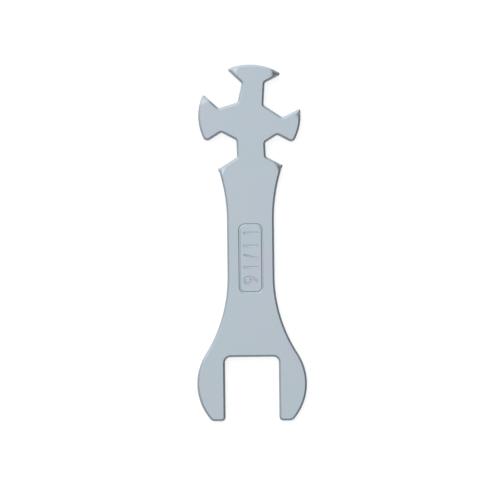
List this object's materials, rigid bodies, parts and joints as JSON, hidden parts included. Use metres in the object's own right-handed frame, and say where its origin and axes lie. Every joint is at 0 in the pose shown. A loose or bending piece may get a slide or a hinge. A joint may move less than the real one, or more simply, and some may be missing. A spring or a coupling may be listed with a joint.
{
  "type": "camp stove wrench",
  "caption": "Flat stamped steel wrench: an open jaw on a flared handle, and a cross-shaped head cut with hexagon slots, for turning the nuts of a stove or lantern.",
  "frame": {"origin": "on the back face, under the middle of the plate's length and width", "axes": "+Y along the handle towards the cross-shaped head, +X to the right seen from the front, +Z out of the front face"},
  "size_m": [0.0358, 0.1164, 0.0027],
  "materials": {
    "plated_steel": "satin zinc plate"
  },
  "bodies": {
    "root": {"wrench_plate": "plated_steel"}
  },
  "joints": []
}
